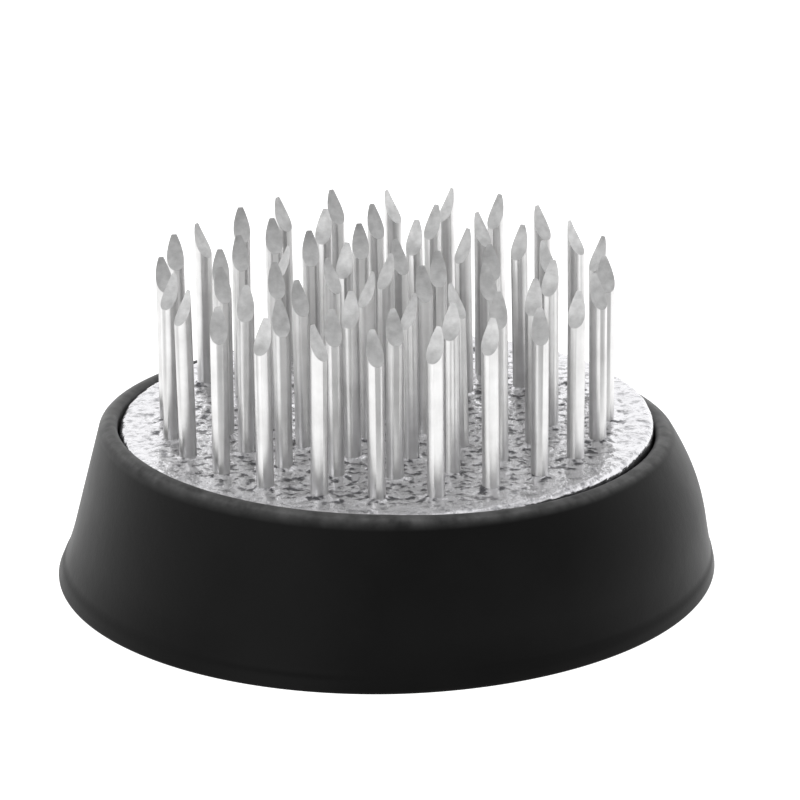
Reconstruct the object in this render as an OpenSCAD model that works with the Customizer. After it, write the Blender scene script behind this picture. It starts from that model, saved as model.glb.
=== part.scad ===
// Round flower frog: a cast metal weight studded with steel pins, which lifts out of a flared rubber base.
// The origin is at the middle of the face that the base stands on, +Z is up and the front is -Y.

/* [Metal weight] */
// Diameter of the cast weight
weight_d = 42; // [34:0.1:60]
// Thickness of the cast weight
weight_h = 9.8; // [7:0.1:14]
// Radius of the rounded upper edge of the weight
weight_edge_r = 0.5; // [0.2:0.1:1]
// Chamfer around the underside of the weight
weight_chamfer = 0.6; // [0.2:0.1:1]

/* [Pins] */
// Diameter of each steel pin
pin_d = 1.35; // [0.8:0.05:2]
// Mean height of the pins above the weight
pin_h = 13.4; // [8:0.1:25]
// How much a pin may be taller or shorter than the mean
pin_h_spread = 0.2; // [0:0.05:0.5]
// Depth that each pin is set into the weight
pin_set = 5.5; // [3:0.1:6]
// Length of the slanted cut that sharpens each pin
pin_cut_h = 2.6; // [1.5:0.1:5]
// Width of the blunt land that the cut leaves at the back of the top
pin_land = 0.03; // [0.02:0.01:0.3]
// Radius of the wheel that grinds the cut hollow (a smaller one takes the top off the pin)
pin_grind_r = 4.5; // [4:0.5:20]
// Largest lean of a pin out of upright, in degrees
pin_lean = 0.9; // [0:0.1:1.2]
// How far the slanted cuts may face away from the front, in degrees
cut_face_spread = 60; // [0:5:180]
// Distance from the edge of the weight to the middle of the outer pins
pin_margin = 3.8; // [2:0.1:5]
// Turn of the whole pin pattern about the middle, in degrees
pattern_turn = 12.5; // [0:0.5:60]

/* [Rubber base] */
// Thickness of the rubber wall at the rim
rim_wall = 1.4; // [1:0.1:3]
// How far the foot stands out beyond the rim
foot_flare = 3.3; // [1:0.05:8]
// How far the rim stands above the weight
rim_rise = 0.4; // [0.2:0.1:3]
// Thickness of the ledge that the weight sits on
ledge_t = 2.5; // [1.5:0.1:5]
// Width of the ledge under the weight
ledge_w = 6; // [3:0.1:10]
// Radius of the rounded edge of the foot
foot_edge_r = 0.5; // [0.3:0.1:1.2]
// Gap all round between the weight and the rubber, so that it lifts out
fit_gap = 0.15; // [0.1:0.05:0.4]

/* [Hidden] */
$fn = 96;
wheel_fn = 240;         // facets of the grinding wheel
turned_fn = 180;        // facets of the disc and of the base
cut_clear = 1;          // how far a cutting solid runs past the face it cuts
ring_count = 4;         // rings of pins around the middle one
pins_in_first_ring = 6; // each ring further out has six pins more

// Radii
weight_r = weight_d / 2;
well_r = weight_r + fit_gap;
rim_bead_r = rim_wall / 2;
rim_bead_x = well_r + rim_bead_r;
foot_r = well_r + rim_wall + foot_flare;
ledge_r = well_r - ledge_w;
outer_ring_r = weight_r - pin_margin;

// Heights
weight_top = ledge_t + weight_h;
base_h = weight_top + rim_rise;
pin_root = weight_top - pin_set;

// The side of the base is the straight line that touches both the rim bead and the foot edge
rim_bead = [rim_bead_x, base_h - rim_bead_r];
foot_edge = [foot_r - foot_edge_r, foot_edge_r];
side_run = rim_bead - foot_edge;
side_face = atan2(side_run.y, side_run.x) - acos((foot_edge_r - rim_bead_r) / norm(side_run));
side_out = [cos(side_face), sin(side_face)];

// The cut runs from the land at the back of a pin's top down to its front. The wheel's axis lies off the
// middle of that line
cut_run = pin_d - pin_land;
cut_line = norm([cut_run, pin_cut_h]);
wheel_off = sqrt(pow(pin_grind_r, 2) - pow(cut_line / 2, 2));
wheel_y = -pin_land / 2 - wheel_off * pin_cut_h / cut_line;
wheel_z = wheel_off * cut_run / cut_line - pin_cut_h / 2;

// Where the pins stand: ring 0 is the single pin in the middle
function pins_in_ring(ring) = ring == 0 ? 1 : ring * pins_in_first_ring;
function ring_r(ring) = outer_ring_r * ring / ring_count;
function pins_inside(ring) = ring == 0 ? 0 : pins_inside(ring - 1) + pins_in_ring(ring - 1);
function pin_place(ring, i) = pattern_turn + 360 * i / pins_in_ring(ring);

// Small differences from pin to pin, the same each time the part is built
pin_total = pins_inside(ring_count + 1);
lean_share = rands(-1, 1, pin_total, 11);
lean_way = rands(0, 360, pin_total, 23);
cut_share = rands(-1, 1, pin_total, 37);
height_share = rands(-1, 1, pin_total, 41);

function pad(i) = i < 9 ? str("0", i + 1) : str(i + 1);
function ring_names(name, ring) = [for (i = [0 : pins_in_ring(ring) - 1]) str(name, pad(i))];
second_ring = ring_names("second_ring_pin_", 2);
third_ring = ring_names("third_ring_pin_", 3);
outer_ring = ring_names("outer_ring_pin_", 4);

// Stands its children where one pin goes, leaning as that pin leans about its root
module at_pin(ring, i) {
    number = pins_inside(ring) + i;
    place = pin_place(ring, i);
    way = lean_way[number];
    translate([ring_r(ring) * cos(place), ring_r(ring) * sin(place), pin_root])
        rotate([0, 0, way])
            rotate([0, pin_lean * lean_share[number], 0])
                rotate([0, 0, -way])
                    children();
}

// One pin from its root up, hollow ground to a slanted point that faces the front or a little to one side
module pin(ring, i) {
    number = pins_inside(ring) + i;
    full_h = pin_set + pin_h + pin_h_spread * height_share[number];
    at_pin(ring, i)
        rotate([0, 0, cut_face_spread * cut_share[number]])
            difference() {
                cylinder(d = pin_d, h = full_h);
                translate([0, wheel_y, full_h + wheel_z])
                    rotate([0, 90, 0])
                        cylinder(r = pin_grind_r, h = pin_d + 2 * cut_clear, center = true, $fn = wheel_fn);
            }
}

module pin_hole(ring, i) {
    at_pin(ring, i)
        cylinder(d = pin_d, h = pin_set + cut_clear);
}

module steel_pin(ring, i) {
    color("silver")
        pin(ring, i);
}

module centre_pin() {
    steel_pin(0, 0);
}

module inner_ring_pins() {
    for (i = [0 : pins_in_ring(1) - 1])
        steel_pin(1, i);
}

// The cast disc, with one blind hole for each pin
module cast_weight() {
    edge = [weight_r - weight_edge_r, weight_top - weight_edge_r];
    color("gainsboro")
        difference() {
            rotate_extrude($fn = turned_fn)
                union() {
                    polygon([
                        [0, ledge_t],
                        [weight_r - weight_chamfer, ledge_t],
                        [weight_r, ledge_t + weight_chamfer],
                        [weight_r, edge.y],
                        edge,
                        [edge.x, weight_top],
                        [0, weight_top]
                    ]);
                    translate(edge)
                        circle(r = weight_edge_r);
                }
            for (ring = [0 : ring_count])
                for (i = [0 : pins_in_ring(ring) - 1])
                    pin_hole(ring, i);
        }
}

// The flared cup, with a round bead for a rim and a ledge that is open in the middle
module rubber_base() {
    color("dimgray")
        rotate_extrude($fn = turned_fn)
            union() {
                polygon([
                    [ledge_r, 0],
                    [foot_edge.x, 0],
                    foot_edge,
                    foot_edge + foot_edge_r * side_out,
                    rim_bead + rim_bead_r * side_out,
                    rim_bead,
                    [well_r, rim_bead.y],
                    [well_r, ledge_t],
                    [ledge_r, ledge_t]
                ]);
                translate(foot_edge)
                    circle(r = foot_edge_r);
                translate(rim_bead)
                    circle(r = rim_bead_r);
            }
}

rubber_base();
cast_weight();
centre_pin();
inner_ring_pins();
for (i = [0 : len(second_ring) - 1])
    steel_pin(2, i);
for (i = [0 : len(third_ring) - 1])
    steel_pin(3, i);
for (i = [0 : len(outer_ring) - 1])
    steel_pin(4, i);
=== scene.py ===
import math

import bmesh
import bpy
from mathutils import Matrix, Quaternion, Vector, kdtree, noise

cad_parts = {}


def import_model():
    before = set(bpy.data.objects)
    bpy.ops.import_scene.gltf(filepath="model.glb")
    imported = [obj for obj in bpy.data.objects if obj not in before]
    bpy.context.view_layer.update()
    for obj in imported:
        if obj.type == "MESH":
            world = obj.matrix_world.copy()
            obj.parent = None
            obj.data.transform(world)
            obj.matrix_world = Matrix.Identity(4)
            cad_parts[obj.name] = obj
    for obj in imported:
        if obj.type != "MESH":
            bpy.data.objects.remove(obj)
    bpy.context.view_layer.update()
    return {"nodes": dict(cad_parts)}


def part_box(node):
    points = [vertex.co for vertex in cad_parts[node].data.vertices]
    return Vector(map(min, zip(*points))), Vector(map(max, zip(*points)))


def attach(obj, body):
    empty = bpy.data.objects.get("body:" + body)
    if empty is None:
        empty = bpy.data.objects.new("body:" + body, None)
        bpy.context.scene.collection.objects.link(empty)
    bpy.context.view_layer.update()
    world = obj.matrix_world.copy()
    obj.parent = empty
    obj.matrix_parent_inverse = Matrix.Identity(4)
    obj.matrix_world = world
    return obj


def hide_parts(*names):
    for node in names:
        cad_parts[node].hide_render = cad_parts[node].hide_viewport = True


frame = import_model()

MM = 0.001
TURN = 2 * math.pi

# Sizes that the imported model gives
base_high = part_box("rubber_base")[1]
weight_low, weight_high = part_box("cast_weight")
FOOT_R = base_high.x
BASE_H = base_high.z
WEIGHT_R = weight_high.x
WEIGHT_TOP = weight_high.z
LEDGE_T = weight_low.z

# Sizes that the frame does not name
FIT_GAP = 0.15 * MM
WELL_R = WEIGHT_R + FIT_GAP
RIM_WALL = 1.4 * MM
RIM_R = WELL_R + RIM_WALL
LEDGE_W = 6 * MM
LEDGE_R = WELL_R - LEDGE_W
PIN_R = 1.35 / 2 * MM
SAME_POINT = 1e-7

PIN_NODES = sorted(n for n in frame["nodes"] if "pin" in n)


# ---------------------------------------------------------------- meshes

def outline(points):
    """A bmesh with one flat face in the XZ plane, from its corner points (x, z)."""
    shape = bmesh.new()
    corners = [shape.verts.new((x, 0, z)) for x, z in points]
    shape.faces.new(corners)
    return shape


def round_corner(shape, corner, radius, segments):
    """Rounds the outline's corner that lies nearest to (x, z)."""
    place = Vector((corner[0], 0, corner[1]))
    nearest = min(shape.verts, key=lambda v: (v.co - place).length)
    bmesh.ops.bevel(shape, geom=[nearest], offset=radius, segments=segments, profile=0.5,
                    affect="VERTICES", material=-1)


def split_long_edges(shape, longest):
    """Cuts every edge of the outline that is longer than that into equal short ones."""
    for edge in list(shape.edges):
        cuts = int(edge.calc_length() / longest)
        if cuts > 0:
            bmesh.ops.subdivide_edges(shape, edges=[edge], cuts=cuts)


def turn_outline(shape, steps):
    """Turns the outline once about Z into a closed skin."""
    bmesh.ops.delete(shape, geom=list(shape.faces), context="FACES_ONLY")
    bmesh.ops.spin(shape, geom=shape.verts[:] + shape.edges[:], cent=(0, 0, 0), axis=(0, 0, 1),
                   angle=TURN, steps=steps, use_merge=True)
    bmesh.ops.remove_doubles(shape, verts=shape.verts, dist=SAME_POINT)
    loose = [e for e in shape.edges if not e.link_faces]
    bmesh.ops.delete(shape, geom=loose, context="EDGES")
    bmesh.ops.recalc_face_normals(shape, faces=shape.faces)


def make_piece(name, shape, materials, body, stands_for, sharp_deg=40):
    """Makes the object of a finished bmesh, hangs it under its body and hides the imported part that it
    stands for.
    """
    mesh = bpy.data.meshes.new(name)
    shape.to_mesh(mesh)
    shape.free()
    mesh.shade_smooth()
    mesh.set_sharp_from_angle(angle=math.radians(sharp_deg))
    for material in materials:
        mesh.materials.append(material)
    piece = bpy.data.objects.new(name, mesh)
    bpy.context.scene.collection.objects.link(piece)
    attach(piece, body)
    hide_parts(stands_for)
    return piece


# ---------------------------------------------------------------- materials

class Finish:
    """A material whose nodes are added one by one."""

    def __init__(self, name):
        self.material = bpy.data.materials.new(name)
        self.material.use_nodes = True
        self.nodes = self.material.node_tree.nodes
        self.links = self.material.node_tree.links
        self.shader = self.nodes["Principled BSDF"]
        self.place = self.node("ShaderNodeTexCoord").outputs["Object"]

    def node(self, kind, **settings):
        made = self.nodes.new(kind)
        for key, value in settings.items():
            setattr(made, key, value)
        return made

    def join(self, source, socket):
        self.links.new(source, socket)

    def stretched(self, scale):
        mapping = self.node("ShaderNodeMapping")
        mapping.inputs["Scale"].default_value = scale
        self.join(self.place, mapping.inputs["Vector"])
        return mapping.outputs["Vector"]

    def noise(self, scale, detail=4, roughness=0.55, place=None):
        made = self.node("ShaderNodeTexNoise")
        made.inputs["Scale"].default_value = scale
        made.inputs["Detail"].default_value = detail
        made.inputs["Roughness"].default_value = roughness
        self.join(place or self.place, made.inputs["Vector"])
        return made.outputs["Fac"]

    def ramp(self, source, stops):
        made = self.node("ShaderNodeValToRGB")
        ramp = made.color_ramp
        while len(ramp.elements) < len(stops):
            ramp.elements.new(0.5)
        for element, (position, colour) in zip(ramp.elements, stops):
            element.position = position
            element.color = colour if len(colour) == 4 else (*colour, 1)
        self.join(source, made.inputs["Fac"])
        return made.outputs["Color"]

    def range(self, source, low, high, start=0.3, end=0.7):
        made = self.node("ShaderNodeMapRange")
        made.inputs["From Min"].default_value = start
        made.inputs["From Max"].default_value = end
        made.inputs["To Min"].default_value = low
        made.inputs["To Max"].default_value = high
        self.join(source, made.inputs["Value"])
        return made.outputs["Result"]

    def height(self):
        split = self.node("ShaderNodeSeparateXYZ")
        self.join(self.place, split.inputs["Vector"])
        return split.outputs["Z"]

    def radius(self):
        made = self.node("ShaderNodeVectorMath", operation="LENGTH")
        self.join(self.stretched((1, 1, 0)), made.inputs[0])
        return made.outputs["Value"]

    def mix(self, share, first, second):
        made = self.node("ShaderNodeMix", data_type="RGBA")
        self.join(share, made.inputs["Factor"])
        self.join(first, made.inputs[6])
        self.join(second, made.inputs[7])
        return made.outputs[2]

    def bump(self, height, distance, strength=1.0, below=None):
        made = self.node("ShaderNodeBump")
        made.inputs["Distance"].default_value = distance
        made.inputs["Strength"].default_value = strength
        self.join(height, made.inputs["Height"])
        if below is not None:
            self.join(below, made.inputs["Normal"])
        return made.outputs["Normal"]

    def set(self, **values):
        for key, value in values.items():
            self.shader.inputs[key.replace("_", " ")].default_value = value


def grey(level, warmth=0.0):
    return (level + warmth, level, level - warmth, 1)


def black_rubber():
    """Satin moulded rubber with a fine grain and faint dusty patches, and a painted highlight paler
    along the top of its rim.
    """
    f = Finish("black_rubber")
    cloud = f.noise(90, detail=5)
    grain = f.noise(4200, detail=3, roughness=0.7)
    body = f.ramp(cloud, [(0.3, grey(0.0022)), (0.72, grey(0.0042))])
    # Painted highlight: the top of the rim is coloured paler where light catches the bead
    painted_rim_highlight = f.ramp(f.noise(700, detail=6), [(0.3, grey(0.04)), (0.7, grey(0.12))])
    high_up = f.range(f.height(), 0, 1, start=BASE_H - 2.6 * MM, end=BASE_H - 2.0 * MM)
    near_rim = f.range(f.radius(), 1, 0, start=RIM_R - 0.3 * MM, end=RIM_R + 0.15 * MM)
    f.join(f.mix(high_up, body, f.mix(near_rim, body, painted_rim_highlight)), f.shader.inputs["Base Color"])
    f.join(f.range(cloud, 0.34, 0.44), f.shader.inputs["Roughness"])
    f.join(f.bump(grain, 0.015 * MM, 0.5, f.bump(cloud, 0.3 * MM, 0.3)), f.shader.inputs["Normal"])
    f.set(Specular_IOR_Level=0.095)
    return f.material


def drawn_steel():
    """Satin plated wire with lines along its length and a little tarnish."""
    f = Finish("drawn_steel")
    lines = f.noise(1, detail=4, roughness=0.7, place=f.stretched((9000, 9000, 260)))
    patches = f.noise(420, detail=5)
    tarnish = f.ramp(patches, [(0.32, grey(0.62, 0.003)), (0.62, grey(0.74, 0.002))])
    f.join(tarnish, f.shader.inputs["Base Color"])
    f.join(f.range(lines, 0.28, 0.42), f.shader.inputs["Roughness"])
    f.join(f.bump(lines, 0.01 * MM, 0.4), f.shader.inputs["Normal"])
    f.set(Metallic=1.0)
    return f.material


def ground_steel():
    """The hollow-ground face of a pin's point: duller and darker, with grinding marks across it."""
    f = Finish("ground_steel")
    marks = f.noise(1, detail=3, roughness=0.6, place=f.stretched((2500, 2500, 14000)))
    patches = f.noise(1500, detail=4)
    f.join(f.ramp(patches, [(0.3, grey(0.48)), (0.7, grey(0.64))]), f.shader.inputs["Base Color"])
    f.join(f.range(marks, 0.36, 0.52), f.shader.inputs["Roughness"])
    f.join(f.bump(marks, 0.02 * MM, 0.5), f.shader.inputs["Normal"])
    f.set(Metallic=1.0)
    return f.material


def cast_alloy():
    """Pale lead-tin alloy, lumpy on top with dark blotches of painted shade among the pins, and painted
    darker on its side as shade.
    """
    f = Finish("cast_alloy")
    broad = f.noise(260, detail=6)
    lumps = f.noise(1300, detail=3, roughness=0.5)
    fine = f.noise(6500, detail=2)
    clean = f.ramp(lumps, [(0.32, (0.42, 0.42, 0.44)), (0.46, (0.74, 0.737, 0.76))])
    # Painted shade: dark blotches among the pins stand for the shade between them
    painted_shade_among_pins = f.ramp(lumps, [(0.38, (0.12, 0.12, 0.13)), (0.50, (0.78, 0.777, 0.80))])
    among_pins = f.range(f.radius(), 1, 0, start=WEIGHT_R - 2.8 * MM, end=WEIGHT_R - 1.8 * MM)
    # Painted shade: the side of the disc is coloured darker than its top, to dim its reflection of the
    # glowing floor
    skin = f.ramp(broad, [(0.3, (0.30, 0.30, 0.31)), (0.7, (0.42, 0.42, 0.43))])
    upper = f.range(f.height(), 0, 1, start=WEIGHT_TOP - 0.9 * MM, end=WEIGHT_TOP - 0.5 * MM)
    f.join(f.mix(upper, skin, f.mix(among_pins, clean, painted_shade_among_pins)), f.shader.inputs["Base Color"])
    f.join(f.range(broad, 0.10, 0.28), f.shader.inputs["Roughness"])
    coarse = f.bump(lumps, 0.18 * MM, 0.9)
    f.join(f.bump(fine, 0.01 * MM, 0.4, coarse), f.shader.inputs["Normal"])
    f.set(Metallic=1.0)
    return f.material


RUBBER = black_rubber()
STEEL = drawn_steel()
GROUND = ground_steel()
ALLOY = cast_alloy()


# ---------------------------------------------------------------- rubber base

# How far the soft cup has gone out of true: splayed all round its foot, bellied on its right, and with a
# rim that has sunk on the right and at the back and stands a little high on the left
FOOT_SPLAY = 0.4 * MM
SPLAY_H = 4 * MM
RIGHT_BELLY = 0.75 * MM
RIGHT_TUCK = 0.3 * MM
SINK_RIGHT = 1.1 * MM
SINK_BACK = 1.2 * MM
RISE_LEFT = 0.4 * MM
# The back starts and is fully sunk where the way out from the middle has these shares of +Y
BACK_FROM = -0.5
BACK_TO = 0.9
SWAY = 0.06 * MM

LIP_H = 1.1 * MM
LIP_STEP = 0.1 * MM
FOOT_ROUND = 0.25 * MM
LEDGE_ROUND = 0.4 * MM


def out_of_true(place):
    """Where a point of the true round cup has gone. The wall of the well keeps its radius."""
    out = Vector((place.x, place.y, 0))
    free = min(max((out.length - WELL_R) / RIM_WALL, 0), 1)
    out.normalize()
    height = place.z / BASE_H
    right = max(out.x, 0)
    back = min(max((out.y - BACK_FROM) / (BACK_TO - BACK_FROM), 0), 1)
    push = right * (RIGHT_BELLY * math.sin(math.pi * height) - RIGHT_TUCK * (1 - height) ** 2)
    push += FOOT_SPLAY * max(1 - place.z / SPLAY_H, 0) ** 2
    push += SWAY * noise.noise(place * 55 + Vector((3, 1, 7)))
    moved = place + out * push * free
    sink = SINK_RIGHT * right + SINK_BACK * back * back * (3 - 2 * back) + RISE_LEFT * min(out.x, 0)
    moved.z -= sink * height * height
    return moved


def rubber_base():
    """The flared cup with a thin lip round its foot, turned, then let go slightly out of true."""
    bead = RIM_WALL / 2
    lip_r = FOOT_R + (RIM_R - FOOT_R) * LIP_H / BASE_H
    shape = outline([
        (LEDGE_R, 0),
        (FOOT_R, 0),
        (lip_r, LIP_H),
        (lip_r - LIP_STEP, LIP_H + LIP_STEP),
        (RIM_R - 0.1 * MM, BASE_H),
        (WELL_R, BASE_H),
        (WELL_R, LEDGE_T),
        (LEDGE_R, LEDGE_T),
    ])
    round_corner(shape, (FOOT_R, 0), FOOT_ROUND, 5)
    round_corner(shape, (RIM_R, BASE_H), bead, 8)
    round_corner(shape, (WELL_R, BASE_H), bead * 0.9, 8)
    round_corner(shape, (LEDGE_R, LEDGE_T), LEDGE_ROUND, 4)
    round_corner(shape, (LEDGE_R, 0), LEDGE_ROUND, 4)
    split_long_edges(shape, 0.5 * MM)
    turn_outline(shape, 288)
    for v in shape.verts:
        v.co = out_of_true(v.co)
    return make_piece("rubber_base_moulding", shape, [RUBBER], "base", "rubber_base")


# ---------------------------------------------------------------- cast weight

EDGE_ROUND = 0.5 * MM
CHAMFER = 0.6 * MM

# The uneven cast face: broad swells and small lumps, and how far the alloy creeps up a pin
SWELL = 0.08 * MM
LUMP = 0.10 * MM
SETTLE = 0.06 * MM
CREEP = 0.22 * MM
CREEP_REACH = 0.28 * MM


def pin_roots():
    """Where the pins stand in the disc, as a tree that finds the nearest one."""
    roots = []
    for node in PIN_NODES:
        shape = bmesh.new()
        shape.from_mesh(frame["nodes"][node].data)
        bmesh.ops.remove_doubles(shape, verts=shape.verts, dist=SAME_POINT)
        low = min(v.co.z for v in shape.verts)
        roots += group_feet([v.co for v in shape.verts if v.co.z < low + 0.3 * MM])
        shape.free()
    tree = kdtree.KDTree(len(roots))
    for index, root in enumerate(roots):
        tree.insert(root, index)
    tree.balance()
    return tree


def group_feet(feet):
    """The middle of each pin's foot, from the points of one or more feet."""
    middles = []
    left = list(feet)
    while left:
        first = left[0]
        own = [p for p in left if (p - first).length < 3 * PIN_R]
        left = [p for p in left if (p - first).length >= 3 * PIN_R]
        middle = sum(own, Vector()) / len(own)
        middles.append(Vector((middle.x, middle.y, 0)))
    return middles


def cast_weight():
    """The disc, with an uneven cast face that creeps up each pin and stays level at its rim."""
    shape = outline([
        (0, LEDGE_T),
        (WEIGHT_R - CHAMFER, LEDGE_T),
        (WEIGHT_R, LEDGE_T + CHAMFER),
        (WEIGHT_R, WEIGHT_TOP),
        (0, WEIGHT_TOP),
    ])
    round_corner(shape, (WEIGHT_R, WEIGHT_TOP), EDGE_ROUND, 5)
    top = [e for e in shape.edges if all(v.co.z > WEIGHT_TOP - 1e-6 for v in e.verts)]
    bmesh.ops.subdivide_edges(shape, edges=top, cuts=95)
    turn_outline(shape, 440)
    roots = pin_roots()
    for v in shape.verts:
        if v.co.z < WEIGHT_TOP - EDGE_ROUND * 0.9:
            continue
        swell = noise.noise(v.co * 260)
        lump = noise.noise(v.co * 950 + Vector((5, 5, 5)))
        gap = roots.find(Vector((v.co.x, v.co.y, 0)))[2] - PIN_R
        creep = math.exp(-max(gap, 0) / CREEP_REACH)
        v.co.z += SWELL * swell + LUMP * lump + CREEP * creep - SETTLE
    return make_piece("cast_weight_disc", shape, [ALLOY], "frog", "cast_weight")


# ---------------------------------------------------------------- pins

MERGE_ANGLE = math.radians(0.3)
# A pin's side never faces up more than this, and its ground face always does
UPWARD = 0.04


def pin(node):
    """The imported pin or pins, with flat stretches merged and the ground face in its own finish."""
    shape = bmesh.new()
    shape.from_mesh(frame["nodes"][node].data)
    bmesh.ops.remove_doubles(shape, verts=shape.verts, dist=SAME_POINT)
    bmesh.ops.dissolve_limit(shape, angle_limit=MERGE_ANGLE, verts=shape.verts, edges=shape.edges)
    shape.normal_update()
    for face in shape.faces:
        face.material_index = 1 if face.normal.z > UPWARD else 0
    return make_piece(node + "_wire", shape, [STEEL, GROUND], "frog", node, sharp_deg=25)


# ---------------------------------------------------------------- studio

ELEVATION = math.radians(20.2)
ROLL = math.radians(0.8)
CAMERA_DISTANCE = 0.40
VIEW_WIDTH = 62.9 * MM
FLOOR_GLOW = 1.15
AIM = Vector((1.1 * MM, 0, 13.85 * MM))


def camera():
    """Looks at the front from a little above, rolled very slightly."""
    data = bpy.data.cameras.new("camera")
    data.sensor_width = 36
    data.lens = data.sensor_width * CAMERA_DISTANCE / VIEW_WIDTH
    made = bpy.data.objects.new("camera", data)
    back = Vector((0, -math.cos(ELEVATION), math.sin(ELEVATION)))
    made.location = AIM + back * CAMERA_DISTANCE
    level = (-back).to_track_quat("-Z", "Y")
    made.rotation_euler = (level @ Quaternion((0, 0, 1), -ROLL)).to_euler()
    bpy.context.scene.collection.objects.link(made)
    bpy.context.scene.camera = made


def soft_light(name, place, size, power, look_at=(0, 0, 0.01)):
    data = bpy.data.lights.new(name, "AREA")
    data.shape = "RECTANGLE"
    data.size, data.size_y = size
    data.energy = power
    made = bpy.data.objects.new(name, data)
    made.location = place
    towards = Vector(look_at) - Vector(place)
    made.rotation_euler = towards.to_track_quat("-Z", "Y").to_euler()
    made.visible_camera = False
    bpy.context.scene.collection.objects.link(made)


def floor():
    """A pale, softly lit table top."""
    shape = bmesh.new()
    bmesh.ops.create_grid(shape, x_segments=1, y_segments=1, size=3)
    mesh = bpy.data.meshes.new("floor")
    shape.to_mesh(mesh)
    shape.free()
    f = Finish("pale_floor")
    f.set(Base_Color=grey(0.25), Roughness=0.8, Emission_Color=grey(1), Emission_Strength=FLOOR_GLOW)
    mesh.materials.append(f.material)
    made = bpy.data.objects.new("floor", mesh)
    bpy.context.scene.collection.objects.link(made)


def spread(tree, source, start, end, low, high):
    """A smooth step of the source from start to end, between two levels that may be sockets."""
    made = tree.nodes.new("ShaderNodeMapRange")
    made.interpolation_type = "SMOOTHSTEP"
    tree.links.new(source, made.inputs["Value"])
    made.inputs["From Min"].default_value = start
    made.inputs["From Max"].default_value = end
    for socket, level in (("To Min", low), ("To Max", high)):
        if isinstance(level, float):
            made.inputs[socket].default_value = level
        else:
            tree.links.new(level, made.inputs[socket])
    return made.outputs["Result"]


def world():
    """White all round behind the object, darker in front of it and low down."""
    made = bpy.data.worlds.new("studio")
    made.use_nodes = True
    tree = made.node_tree
    way = tree.nodes.new("ShaderNodeSeparateXYZ")
    tree.links.new(tree.nodes.new("ShaderNodeTexCoord").outputs["Generated"], way.inputs["Vector"])
    front = spread(tree, way.outputs["Z"], 0.1, 0.5, 0.4, 0.7)
    back = spread(tree, way.outputs["Z"], 0.4, 0.8, 1.25, 0.5)
    room = spread(tree, way.outputs["Y"], -0.5, 0.2, front, back)
    seen = tree.nodes.new("ShaderNodeLightPath").outputs["Is Camera Ray"]
    level = spread(tree, seen, 0.0, 1.0, room, 1.0)
    tree.links.new(level, tree.nodes["Background"].inputs["Strength"])
    tree.nodes["Background"].inputs["Color"].default_value = (1, 1, 1, 1)
    bpy.context.scene.world = made


def studio():
    camera()
    floor()
    world()
    soft_light("overhead", (0, 0.1, 0.9), (0.9, 0.9), 1.2)
    soft_light("front_left_box", (-0.6, -0.7, 0.35), (0.7, 0.7), 1.6)
    bpy.context.scene.view_settings.view_transform = "Standard"


rubber_base()
cast_weight()
for node in PIN_NODES:
    pin(node)
studio()
